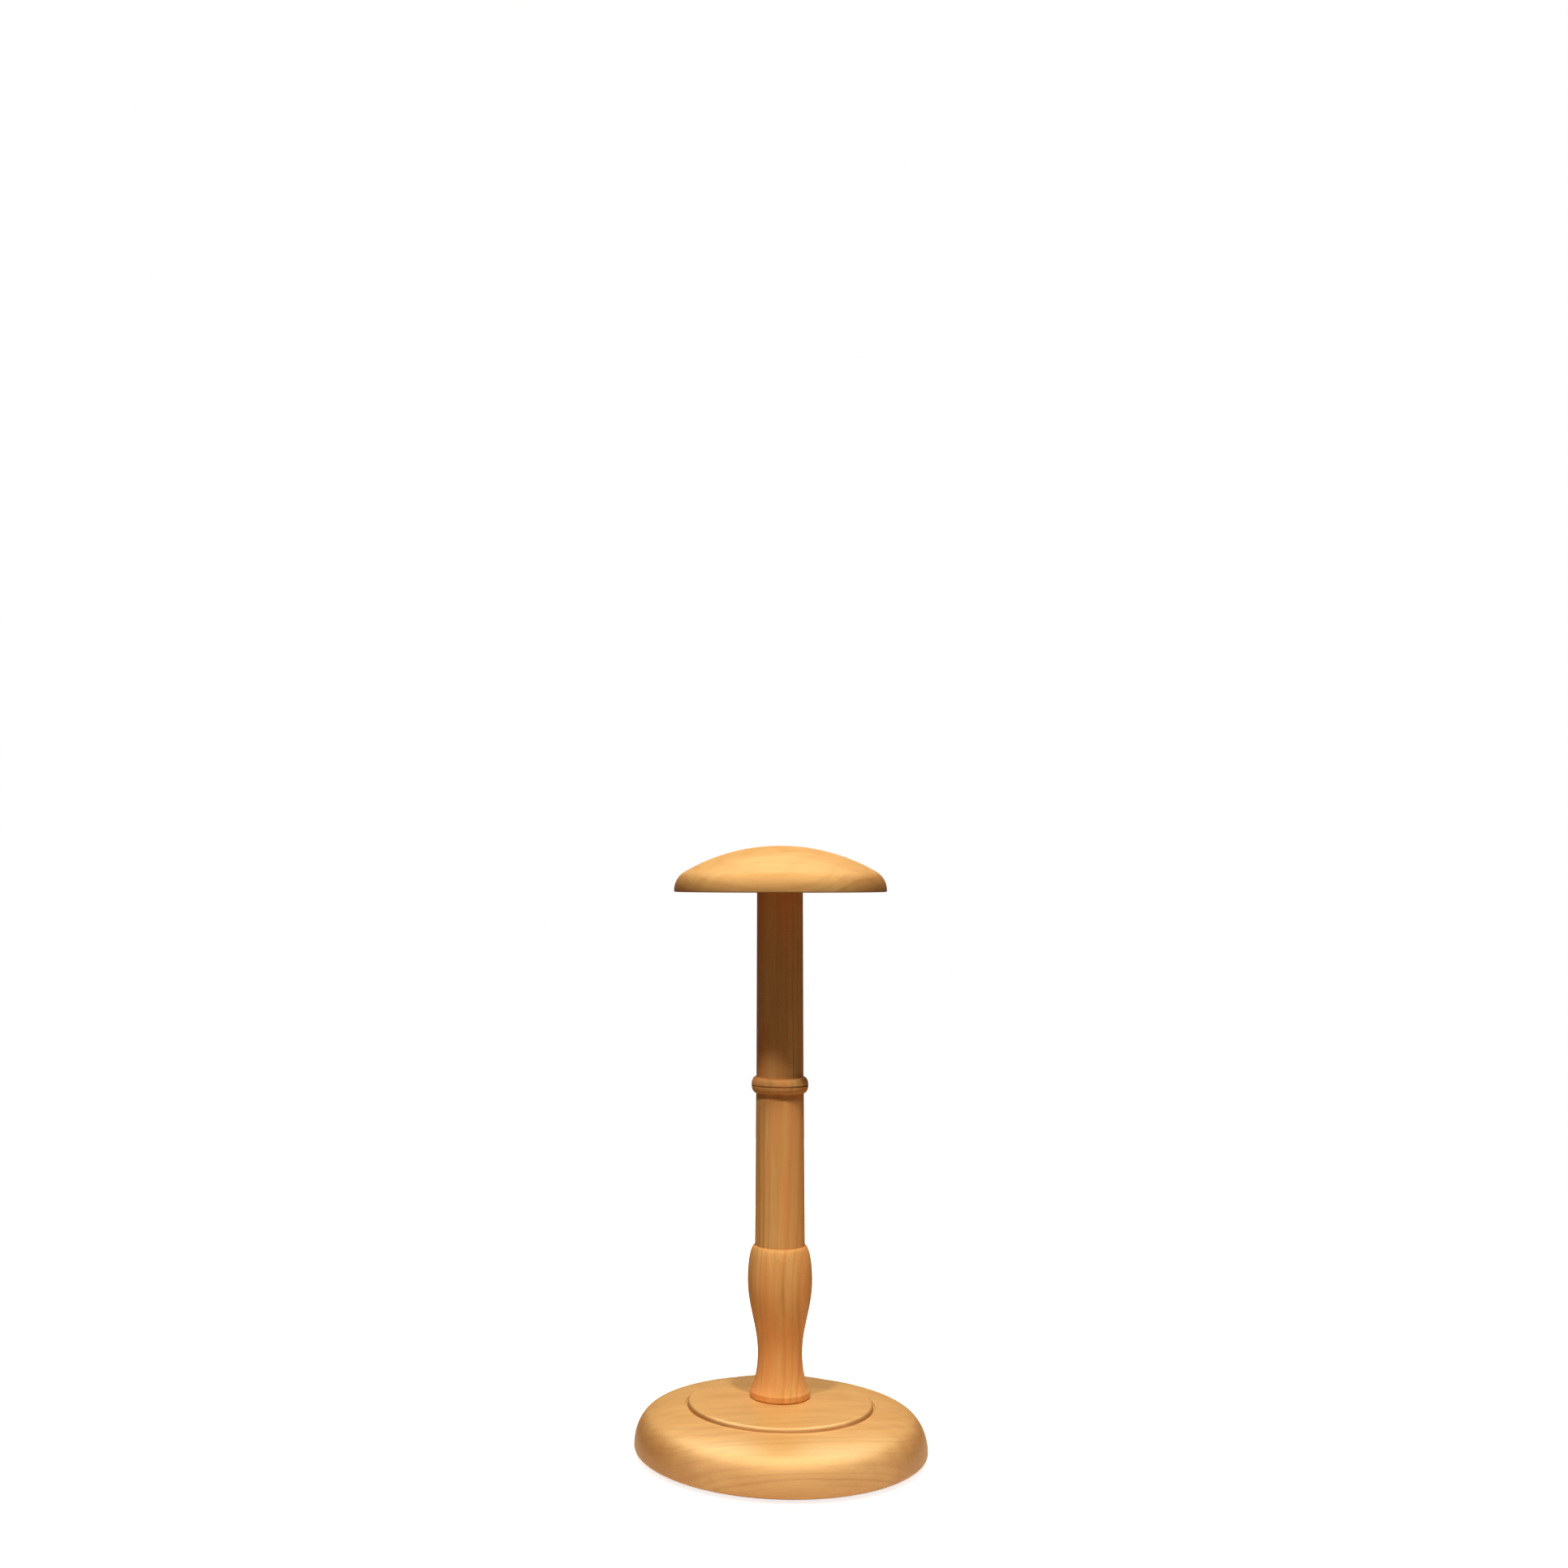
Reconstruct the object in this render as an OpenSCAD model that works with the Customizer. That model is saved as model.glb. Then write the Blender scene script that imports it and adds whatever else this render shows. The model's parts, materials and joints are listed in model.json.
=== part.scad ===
// Tall turned wooden wig stand that unscrews into a base, a column, an extension and a head.
// Millimetres, +Z up, origin on the floor under the middle of the base.

/* [Base] */
// Widest diameter of the base
base_d = 204; // [180:1:260]
// Height of the widest line above the wooden underside
base_belly_h = 5.8; // [4:0.1:12]
// Width of the small round under the widest line
base_under_w = 13.5; // [4:0.5:16]
// Width of the large round-over above the widest line
base_edge_w = 17; // [12:0.5:24]
// Height of that round-over, were it a full quarter
base_edge_h = 23.5; // [16:0.5:30]
// Rise of the sloping land past that height to the foot of the plinth
land_rise = 4.6; // [0.5:0.1:8]

/* [Plinth] */
// Diameter of the raised plinth, turned in one piece with the base
plinth_d = 129; // [90:1:140]
// Height of the plinth's middle above the land
plinth_h = 5.6; // [5.2:0.1:12]
// Fall of the plinth's domed top from the column's seat to its edge
plinth_crown = 2.4; // [0.5:0.1:2.6]
// Radius of the plinth's top edge
plinth_edge_r = 2.4; // [1:0.1:2.6]
// Width of the level seat that is left around the column's foot
seat_margin = 2; // [1:0.1:6]
// Width of the fine groove around the plinth's foot
quirk_w = 1.4; // [0.6:0.1:2]

/* [Felt disc] */
// Width of the bare wooden ring around the felt under the base
felt_margin = 8; // [4:0.5:30]
// Thickness of the felt
felt_t = 2; // [1.5:0.1:4]
// Depth of the recess that the felt is glued into
felt_sink = 1.2; // [0.6:0.1:1.4]
// Gap between the felt's edge and the wall of its recess
felt_gap = 0.3; // [0.1:0.1:1]

/* [Column] */
// Length of the column between its two seats
column_l = 218; // [190:0.1:300]
// Diameter of the column's foot
foot_d = 41.5; // [38:0.5:60]
// Height of the upright lip around the foot
foot_lip_h = 4.6; // [2:0.1:6]
// Radius of the foot's lower edge
foot_edge_r = 1.6; // [0.5:0.1:2]
// Height of the waist above the plinth
waist_h = 30.6; // [24:0.1:40]
// Diameter of the waist
waist_d = 31; // [26:0.1:34]
// Height of the widest part of the swelling above the plinth
swell_h = 81.6; // [65:0.1:95]
// Diameter of the swelling
swell_d = 45; // [38:0.5:60]
// Height of the rounded shoulder above the widest part of the swelling
shoulder_h = 24.6; // [15:0.1:40]
// Diameter of the straight part just above the shoulder
neck_d = 34.8; // [30:0.1:37]
// Diameter of the straight part just under the bead
column_top_d = 33.2; // [28:0.1:36]

/* [Extension] */
// Length of the extension between its two seats
extension_l = 134.6; // [100:0.1:200]
// Diameter of the extension just above the bead
extension_d = 32.8; // [28:0.1:36]
// Diameter of the extension under the head
extension_top_d = 32; // [28:0.1:36]

/* [Bead] */
// Diameter of the bead that the column and the extension share
bead_d = 39.5; // [38:0.5:48]
// Height of the bead, half of it on each piece
bead_h = 11.4; // [8:0.2:18]
// Chamfer of the edges that meet at a seam
seam_ease = 0.4; // [0.2:0.1:1]

/* [Head] */
// Diameter of the domed head
head_d = 148; // [120:1:180]
// Height of the head
head_h = 32.2; // [28:0.1:60]
// Radius of the head's lower edge
rim_r = 0.8; // [0.3:0.1:1]
// Height of the upright rim
rim_h = 1.2; // [1.2:0.1:8]
// Radius of the shoulder between the rim and the dome
dome_edge_r = 15; // [4:0.5:18]

/* [Hanger bolts] */
// Diameter of the bolts' thread
stud_d = 8; // [6:0.5:9]
// Length of bolt that stands out of the wood
stud_out = 17.5; // [15:0.5:20]
// Length of bolt held in the wood
stud_grip = 30; // [20:1:40]
// Length of the tapered point in the wood
stud_point_l = 7; // [3:0.5:10]
// Diameter of the point's blunt tip
stud_tip_d = 2; // [1:0.1:3]
// Chamfer on the free end of a bolt
stud_chamfer = 1; // [0.3:0.1:1.5]

/* [Threaded inserts] */
// Outside diameter of the inserts
insert_d = 12; // [11:0.5:14]
// Length of the inserts
insert_l = 14; // [10:0.5:15]
// Depth of an insert's end below the wooden face
insert_sink = 0.5; // [0.2:0.1:1]
// Width of the driving slot across an insert's end
slot_w = 1.6; // [1:0.1:2.5]
// Depth of the driving slot
slot_depth = 2; // [1:0.1:4]

/* [Clearances] */
// Radial gap between the hardware and its holes
fit_gap = 0.05; // [0.02:0.01:0.1]
// Room around and beyond the ends of a bolt
tip_room = 1; // [0.5:0.1:1.4]

/* [Hidden] */
// Steps in each curved stretch of an outline
curve_steps = 18;
// Part of the foot's elliptical cove that is used, in degrees from the waist
cove_sweep = 60;
// Overshoot of a cut past the face that it opens
cut = 1;
$fn = 96;

base_r = base_d / 2;
plinth_r = plinth_d / 2;
bead_r = bead_d / 2;
half_bead = bead_h / 2;
underside_r = base_r - base_under_w;
felt_r = underside_r - felt_margin;

// Heights within the base, above its wooden underside
land_h = base_belly_h + base_edge_h + land_rise;
base_h = land_h + plinth_h;
plinth_edge_z = base_h - plinth_crown - plinth_edge_r;

// Heights of the pieces above the floor
base_z = felt_t - felt_sink;
column_z = base_z + base_h;
extension_z = column_z + column_l;
head_z = extension_z + extension_l;

// Angle on the base's elliptical round-over where the sloping land runs into it
land_run = (plinth_r - base_r) / base_edge_w + 1;
land_climb = (land_h - base_belly_h) / base_edge_h;
land_angle = atan2(land_climb, land_run) - acos(1 / norm([land_run, land_climb]));

// Arc of the plinth's domed top, level at the column's seat
seat_r = foot_d / 2 + seat_margin;
dome_w = plinth_r - plinth_edge_r - seat_r;
dome_angle = 2 * atan2(plinth_crown, dome_w);
dome_r = dome_w / sin(dome_angle) + plinth_edge_r;

wood = "#e0a863";
column_wood = "#c98f4e";
steel = "#b9bcc0";
brass = "#c9a24a";
felt_green = "#2f4a38";

// Points of an elliptical arc about [x, z] from angle a to angle b, without the first point
function arc(x, z, rx, rz, a, b) = [
    for (i = [1:curve_steps])
        let (t = a + (b - a) * i / curve_steps)
        [x + rx * cos(t), z + rz * sin(t)]
];

// Points of an S-curve that is upright at both ends, without the first point
function s_curve(r_from, z_from, r_to, z_to) = [
    for (i = [1:curve_steps])
        let (u = i / curve_steps)
        [r_from + (r_to - r_from) * (1 - cos(180 * u)) / 2, z_from + (z_to - z_from) * u]
];

// Outline of the base: under round, round-over, sloping land, then the plinth's edge and domed top
function base_outline() = concat(
    [[0, 0], [underside_r, 0]],
    arc(underside_r, base_belly_h, base_under_w, base_belly_h, -90, 0),
    arc(base_r - base_edge_w, base_belly_h, base_edge_w, base_edge_h, 0, land_angle),
    [[plinth_r, land_h], [plinth_r, plinth_edge_z]],
    arc(plinth_r - plinth_edge_r, plinth_edge_z, plinth_edge_r, plinth_edge_r, 0, 90 - dome_angle),
    arc(seat_r, base_h - dome_r, dome_r, dome_r, 90 - dome_angle, 90),
    [[0, base_h]]
);

// Outline of the column's foot: rounded lower edge, upright lip, then a cove up to the waist
function foot_outline(foot_r, waist_r) =
    let (cove_w = (foot_r - waist_r) / (1 - cos(cove_sweep)))
    let (cove_h = (waist_h - foot_lip_h) / sin(cove_sweep))
    concat(
        [[0, 0], [foot_r - foot_edge_r, 0]],
        arc(foot_r - foot_edge_r, foot_edge_r, foot_edge_r, foot_edge_r, -90, 0),
        [[foot_r, foot_lip_h]],
        arc(waist_r + cove_w, waist_h, cove_w, cove_h, 180 + cove_sweep, 180)
    );

// Outline of the column: foot, vase-shaped swelling, rounded shoulder, slim taper and half the bead
function column_outline(swell_r, neck_r, top_r) = concat(
    foot_outline(foot_d / 2, waist_d / 2),
    s_curve(waist_d / 2, waist_h, swell_r, swell_h),
    arc(neck_r, swell_h, swell_r - neck_r, shoulder_h, 0, 90),
    [[top_r, column_l - half_bead]],
    arc(top_r, column_l - seam_ease, bead_r - top_r, half_bead - seam_ease, -90, 0),
    [[bead_r - seam_ease, column_l], [0, column_l]]
);

// Outline of the extension: the other half of the bead, then a slim taper
function extension_outline(low_r, top_r) = concat(
    [[0, 0], [bead_r - seam_ease, 0], [bead_r, seam_ease]],
    arc(low_r, seam_ease, bead_r - low_r, half_bead - seam_ease, 0, 90),
    [[top_r, extension_l - seam_ease], [top_r - seam_ease, extension_l], [0, extension_l]]
);

// Outline of the head: flat underside, upright rim, rounded shoulder and a dome that is an arc
function head_outline(head_r) =
    let (run = head_r - dome_edge_r)
    let (climb = head_h - rim_h - dome_edge_r)
    let (inner_r = (run * run + climb * climb) / (2 * climb))
    let (outer_r = inner_r + dome_edge_r)
    let (edge_angle = atan2(inner_r - climb, run))
    concat(
        [[0, 0], [head_r - rim_r, 0]],
        arc(head_r - rim_r, rim_r, rim_r, rim_r, -90, 0),
        [[head_r, rim_h]],
        arc(run, rim_h, dome_edge_r, dome_edge_r, 0, edge_angle),
        arc(0, head_h - outer_r, outer_r, outer_r, edge_angle, 90)
    );

// Outline of a hanger bolt: chamfered free end below the seam, tapered wood point above it
function stud_outline(stud_r) = [
    [0, -stud_out],
    [stud_r - stud_chamfer, -stud_out],
    [stud_r, stud_chamfer - stud_out],
    [stud_r, stud_grip - stud_point_l],
    [stud_tip_d / 2, stud_grip],
    [0, stud_grip]
];

// Hole below a seam at z = 0 for an insert, with a narrower hole beyond it for the bolt's end
module insert_seat() {
    insert_depth = insert_sink + insert_l;
    tip_depth = stud_out + tip_room;
    translate([0, 0, -insert_depth])
        cylinder(d = insert_d + 2 * fit_gap, h = insert_depth + cut);
    translate([0, 0, -tip_depth])
        cylinder(d = stud_d + 2 * tip_room, h = tip_depth + cut);
}

// Hole above a seam at z = 0 for the wood end of a hanger bolt
module stud_seat() {
    translate([0, 0, -cut])
        cylinder(d = stud_d + 2 * fit_gap, h = stud_grip + tip_room + cut);
}

// Insert that hangs below a seam at z = 0, with a driving slot across its upper end
module insert() {
    translate([0, 0, -insert_sink]) difference() {
        translate([0, 0, -insert_l])
            cylinder(d = insert_d, h = insert_l);
        translate([0, 0, -insert_l - cut])
            cylinder(d = stud_d + 2 * fit_gap, h = insert_l + 2 * cut);
        translate([-insert_d / 2 - cut, -slot_w / 2, -slot_depth])
            cube([insert_d + 2 * cut, slot_w, slot_depth + cut]);
    }
}

// Hanger bolt across a seam at z = 0, with its free end below the seam
module stud() {
    rotate_extrude() polygon(stud_outline(stud_d / 2));
}

// Wide base with its plinth, the groove around the plinth and the recess for the felt
module base() {
    color(wood) translate([0, 0, base_z]) difference() {
        rotate_extrude() polygon(base_outline());
        rotate_extrude() translate([plinth_r + quirk_w / 2, land_h]) circle(d = quirk_w);
        translate([0, 0, -cut]) cylinder(r = felt_r + felt_gap, h = felt_sink + cut);
        translate([0, 0, base_h]) insert_seat();
    }
}

// Felt glued under the base, which the stand rests on
module felt_disc() {
    color(felt_green) cylinder(r = felt_r, h = felt_t);
}

module base_insert() {
    color(brass) translate([0, 0, column_z]) insert();
}

module column_stud() {
    color(steel) translate([0, 0, column_z]) stud();
}

// Baluster column, bored for a bolt at its foot and an insert at its top
module column() {
    color(column_wood) translate([0, 0, column_z]) difference() {
        rotate_extrude() polygon(column_outline(swell_d / 2, neck_d / 2, column_top_d / 2));
        stud_seat();
        translate([0, 0, column_l]) insert_seat();
    }
}

module column_insert() {
    color(brass) translate([0, 0, extension_z]) insert();
}

module extension_stud() {
    color(steel) translate([0, 0, extension_z]) stud();
}

// Slim rod, bored for a bolt at each end
module extension() {
    color(column_wood) translate([0, 0, extension_z]) difference() {
        rotate_extrude() polygon(extension_outline(extension_d / 2, extension_top_d / 2));
        stud_seat();
        translate([0, 0, extension_l]) mirror([0, 0, 1]) stud_seat();
    }
}

module head_stud() {
    color(steel) translate([0, 0, head_z]) mirror([0, 0, 1]) stud();
}

module head_insert() {
    color(brass) translate([0, 0, head_z]) mirror([0, 0, 1]) insert();
}

// Mushroom-shaped head that carries the wig
module head() {
    color(wood) translate([0, 0, head_z]) difference() {
        rotate_extrude() polygon(head_outline(head_d / 2));
        mirror([0, 0, 1]) insert_seat();
    }
}

base();
felt_disc();
base_insert();
column_stud();
column();
column_insert();
extension_stud();
extension();
head_stud();
head_insert();
head();
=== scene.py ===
"""Looks of a tall turned wig stand: four wooden pieces that screw together with bolts and inserts."""
import json
import math
from collections import namedtuple

import bmesh
import bpy
from bpy.props import FloatProperty, FloatVectorProperty, PointerProperty
from mathutils import Matrix, Vector, noise


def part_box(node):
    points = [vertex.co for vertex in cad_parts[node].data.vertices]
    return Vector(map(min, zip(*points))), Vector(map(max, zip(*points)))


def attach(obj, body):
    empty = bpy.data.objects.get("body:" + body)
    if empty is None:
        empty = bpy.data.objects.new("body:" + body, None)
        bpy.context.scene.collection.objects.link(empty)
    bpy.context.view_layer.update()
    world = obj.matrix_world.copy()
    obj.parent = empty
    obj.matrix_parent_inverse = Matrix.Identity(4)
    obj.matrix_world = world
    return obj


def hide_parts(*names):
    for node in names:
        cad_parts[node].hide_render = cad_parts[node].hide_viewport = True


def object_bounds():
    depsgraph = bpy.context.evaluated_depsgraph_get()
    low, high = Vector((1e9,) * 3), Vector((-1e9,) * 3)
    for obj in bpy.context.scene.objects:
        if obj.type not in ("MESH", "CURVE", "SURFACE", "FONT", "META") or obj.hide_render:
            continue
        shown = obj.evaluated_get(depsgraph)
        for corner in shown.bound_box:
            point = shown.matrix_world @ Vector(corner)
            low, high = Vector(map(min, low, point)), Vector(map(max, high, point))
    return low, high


bl_info = {
    "name": "Turned wig stand",
    "version": (1, 0, 0),
    "blender": (4, 5, 0),
    "location": "View3D > Sidebar > Wig stand",
    "description": "Models and finishes the pieces of a turned wooden wig stand",
    "category": "Add Mesh",
}

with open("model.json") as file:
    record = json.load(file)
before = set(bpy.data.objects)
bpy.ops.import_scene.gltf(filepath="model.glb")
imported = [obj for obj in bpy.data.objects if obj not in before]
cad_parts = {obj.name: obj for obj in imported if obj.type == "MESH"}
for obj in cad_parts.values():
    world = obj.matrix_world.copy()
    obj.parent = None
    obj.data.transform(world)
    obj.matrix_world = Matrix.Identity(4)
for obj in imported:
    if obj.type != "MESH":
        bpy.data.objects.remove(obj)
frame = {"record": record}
CAD_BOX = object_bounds()
RECORD = frame["record"]
BODY_OF = {node: body for body, nodes in RECORD["behaviour"]["bodies"].items() for node in nodes}

MM = 0.001
MERGE = 0.001 * MM
PHOTO_SIDE = 1932
CURVE_STEPS = 24
DOME_STEPS = 64
GROOVE_STEPS = 10
FELT_STEPS = 8
WIDE_SEGMENTS = 256
SLIM_SEGMENTS = 160
THREAD_SEGMENTS = 48
SMOOTH_ANGLE = math.radians(28)
UP = Vector((0, 0, 1))
# A ring this far inside a rounded edge keeps the flat face beside it flat
FLAT_RING = 1 * MM
# Share of the base's land that lies outside the bend in its crown
LAND_BEND = 0.3

Thread = namedtuple("Thread", "pitch root_r crest_r root_w crest_w")
# Shares of a metric thread's pitch: its depth, and the flats at its root and its crest
METRIC_FORM = (0.613, 1 / 4, 1 / 8)
# Coarse threads: the root's share of the crest's radius, and the flats' shares of the pitch
WOOD_FORM = (0.7, 0.5, 0.08)
KNIFE_FORM = (0.87, 0.55, 0.06)
# Ends of a bolt's plain shank about its seam, and the run-outs of the threads into it
SHANK_LOW, SHANK_HIGH = -1.2 * MM, 3 * MM
MACHINE_RUNOUT, WOOD_RUNOUT = 0.4 * MM, 0.8 * MM
# An insert's ends: shares of its radius at the low end and of the lip on top, and how steep its top edge is
INSERT_END, INSERT_LIP, INSERT_STEEP = 0.9, 0.02, 1.5
# Slack of an inner thread around a bolt, and the countersink at its mouth
THREAD_SLACK, BORE_MOUTH = 0.06 * MM, 0.45 * MM
# Way the fibres run, a point on the pith of the tree that the piece was sawn from, brightness of the piece's
# wood (partly painted light: darker on the base and head, whose tops the lamps light strongly, paler on the
# upright column), strength of the rings and streaks, least and most share of heart wood, and how much the
# lacquer reflects
Timber = namedtuple("Timber", "grain pith tone marking blush lacquer")
TIMBERS = {
    "base": Timber((1, 0.03, 0.03), (0, 6 * MM, 0.17), 0.785, 0.8, (0, 0.2), 1.0),
    "column": Timber((0.012, 0.01, 1), (-60 * MM, 5 * MM, 0), 1.04, 1.1, (0.05, 0.8), 0.15),
    "extension": Timber((-0.015, 0.01, 1), (55 * MM, 10 * MM, 0), 1.0, 1.1, (0.05, 0.8), 0.15),
    "head": Timber((1, -0.08, 0.05), (0, -10 * MM, 0.275), 0.82, 0.8, (0, 0.15), 0.22),
}

# Figure of the wood: how far waves bend the rings, how much the years differ in width, how dark the wood is where
# a year turns and through its growth, the shares of streaks and fibres, how much stays plain, and the lathe's share
SWAY_W, YEAR_SPREAD = 18 * MM, 1.2
YEAR_TURN, SEASONS = 0.4, ((0.12, 0.0), (0.5, 0.15), (0.88, 1.0))
STREAK_SHARE, FIBRE_SHARE, PLAIN_SHARE, LATHE_SHARE = 0.9, 0.55, 0.55, 0.5
# Brightness of the dull patches in the metals, how far the felt's fibres wander and how roughly it is cut
DULL_ZINC, DULL_BRASS = 0.8, 0.7
FELT_TANGLE, FELT_SLIP, FELT_SLIP_W = 4 * MM, 0.2 * MM, 9 * MM
# The floor's size, how soft the paper's edge is, the paper's white, and its glow from the stand outwards
FLOOR_R, FLOOR_SEGMENTS = 1.5, 96
PAPER_SOFT, PAPER_WHITE = 0.3, 0.9
GLOW_NEAR, GLOW_FAR, GLOW_LEAST = 0.12, 0.6, 0.8
# Cosines from the softbox's middle to its outer edge and to its full part, and where front walls turn to back
SOFTBOX_EDGE, SOFTBOX_FULL, WALL_TURN = 0.6, 0.86, 0.3


def srgb(hex_colour):
    """Linear RGB of an sRGB hex value."""
    channels = [int(hex_colour[i:i + 2], 16) / 255 for i in (1, 3, 5)]
    return tuple(c / 12.92 if c <= 0.04045 else ((c + 0.055) / 1.055) ** 2.4 for c in channels)


def low(node):
    """Height of a node's lowest point."""
    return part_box(node)[0].z


def high(node):
    """Height of a node's highest point."""
    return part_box(node)[1].z


def width(node):
    """Largest width of a node, which is a diameter on a turned piece."""
    lowest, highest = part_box(node)
    return highest.x - lowest.x


def number(label, words, value, **kind):
    """A setting that is a number."""
    return FloatProperty(name=label, description=words, default=value, **kind)


def length(label, words, value):
    """A size in metres, shown in the scene's unit."""
    return number(label, words, value, unit="LENGTH", precision=5)


def angle(label, words, degrees):
    """An angle given in degrees."""
    return number(label, words, math.radians(degrees), subtype="ANGLE")


def tint(label, words, hex_colour):
    """A colour given as an sRGB hex value."""
    return FloatVectorProperty(name=label, description=words, default=srgb(hex_colour), subtype="COLOR")


class BaseSizes(bpy.types.PropertyGroup):
    """Sizes of the base, its plinth and the felt under it."""
    diameter: length("Diameter", "Widest diameter of the base", width("base"))
    belly_h: length("Belly height", "Height of the widest line above the underside", 5.8 * MM)
    under_w: length("Under round", "Width of the small round under the widest line", 13.5 * MM)
    edge_w: length("Round-over width", "Width of the large round-over on top", 17 * MM)
    edge_h: length("Round-over height", "Height of the large round-over on top", 23.5 * MM)
    land_fall: angle("Land fall", "Slope of the crowned land where the round-over begins", 25)
    plinth_d: length("Plinth diameter", "Diameter of the raised plinth", 129 * MM)
    plinth_h: length("Plinth height", "Height of the plinth's middle above the land", 5.6 * MM)
    plinth_crown: length("Plinth crown", "Fall of the plinth's domed top to its edge", 2.4 * MM)
    plinth_edge_r: length("Plinth edge", "Radius of the plinth's top edge", 2.4 * MM)
    seat_d: length("Seat", "Diameter of the level seat around the column's foot", 45.5 * MM)
    quirk_w: length("Groove", "Width of the groove around the plinth's foot", 1.4 * MM)
    felt_sink: length("Felt recess", "Depth of the recess for the felt", 1.2 * MM)
    felt_gap: length("Felt gap", "Gap between the felt and its recess", 0.3 * MM)
    felt_edge_r: length("Felt edge", "Round of the felt's pressed edge", 0.5 * MM)


class ColumnSizes(bpy.types.PropertyGroup):
    """Sizes of the column, with heights counted from its foot."""
    foot_d: length("Foot", "Diameter of the foot", 41.5 * MM)
    foot_lip_h: length("Foot lip", "Height of the upright lip around the foot", 4.6 * MM)
    foot_edge_r: length("Foot edge", "Radius of the foot's lower edge", 1.6 * MM)
    cove_sweep: angle("Cove sweep", "Part of the foot's elliptical cove that is used", 60)
    waist_h: length("Waist height", "Height of the waist", 30.6 * MM)
    waist_d: length("Waist", "Diameter of the waist", 31 * MM)
    swell_h: length("Swelling height", "Height of the swelling's widest part", 81.6 * MM)
    swell_d: length("Swelling", "Diameter of the swelling", width("column"))
    shoulder_h: length("Shoulder", "Height of the shoulder above the swelling", 24.6 * MM)
    neck_d: length("Neck", "Diameter just above the shoulder", 34.8 * MM)
    top_d: length("Top", "Diameter just under the bead", 33.2 * MM)


class RodSizes(bpy.types.PropertyGroup):
    """Sizes of the extension and of the bead that it shares with the column."""
    low_d: length("Low end", "Diameter just above the bead", 32.8 * MM)
    top_d: length("Top end", "Diameter under the head", 32 * MM)
    bead_d: length("Bead", "Diameter of the bead", width("extension"))
    bead_h: length("Bead height", "Height of the bead across both pieces", 11.4 * MM)
    seam_ease: length("Seam chamfer", "Chamfer of the edges that meet at a seam", 0.4 * MM)
    seam_depth: length("Seam depth", "Depth of the fine V around the bead's seam", 1.2 * MM)


class HeadSizes(bpy.types.PropertyGroup):
    """Sizes of the domed head."""
    diameter: length("Diameter", "Diameter of the head", width("head"))
    rim_r: length("Lower edge", "Radius of the lower edge", 0.8 * MM)
    rim_h: length("Rim", "Height of the upright rim", 1.2 * MM)
    dome_edge_r: length("Shoulder", "Radius of the shoulder under the dome", 15 * MM)


class HardwareSizes(bpy.types.PropertyGroup):
    """Sizes of the bolts, the inserts and the holes that they sit in."""
    stud_d: length("Bolt", "Diameter of the bolts' thread", width("column_stud"))
    stud_out: length("Free end", "Length of bolt out of the wood", low("column") - low("column_stud"))
    stud_grip: length("Wood end", "Length of bolt in the wood", high("column_stud") - low("column"))
    stud_point_l: length("Point", "Length of the bolt's tapered point", 7 * MM)
    stud_tip_d: length("Tip", "Diameter of the point's blunt tip", 2 * MM)
    stud_chamfer: length("Bolt chamfer", "Chamfer on the bolt's free end", 1 * MM)
    shank_d: length("Shank", "Diameter of the shank between the threads", 7 * MM)
    pitch: length("Bolt pitch", "Pitch of the bolt's machine thread", 1.25 * MM)
    wood_pitch: length("Wood pitch", "Pitch of the bolt's wood thread", 3.2 * MM)
    insert_d: length("Insert", "Outside diameter of the inserts", width("base_insert"))
    insert_sink: length("Insert sink", "Depth of an insert's end below the face", 0.5 * MM)
    insert_depth: length("Insert depth", "Depth of an insert's far end", high("base") - low("base_insert"))
    insert_pitch: length("Insert pitch", "Pitch of the insert's knife thread", 2.8 * MM)
    slot_w: length("Slot", "Width of the driving slot across an insert", 1.6 * MM)
    slot_depth: length("Slot depth", "Depth of the driving slot", 2 * MM)
    fit_gap: length("Fit", "Radial gap between the hardware and its holes", 0.05 * MM)
    tip_room: length("Tip room", "Room around and beyond a bolt's end", 1 * MM)
    mouth_ease: length("Hole mouth", "Chamfer around the mouth of a hole", 0.35 * MM)


class WoodFinish(bpy.types.PropertyGroup):
    """Colours and figure of the lacquered wood."""
    early: tint("Early wood", "Pale wood of a growth ring", "#F2BF78")
    late: tint("Late wood", "Darker wood at the end of a growth ring", "#C58440")
    heart: tint("Heart wood", "Rosy cast of the broad tone drift", "#F0A562")
    end_grain: tint("End grain", "Wood cut across its fibres", "#B06E2E")
    ring_w: length("Growth ring", "Mean width of a growth ring", 5 * MM)
    fibre_w: length("Fibre", "Width of a fibre streak", 0.6 * MM)


class MetalFinish(bpy.types.PropertyGroup):
    """Colours of the hardware and the felt."""
    zinc: tint("Zinc", "Zinc plate on the bolts", "#B4B8BE")
    brass: tint("Brass", "Turned brass of the inserts", "#CDA552")
    felt: tint("Felt", "Wool felt under the base", "#30503C")
    felt_pale: tint("Felt nap", "Paler fibres that stand out of the felt", "#5A7A62")


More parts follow.
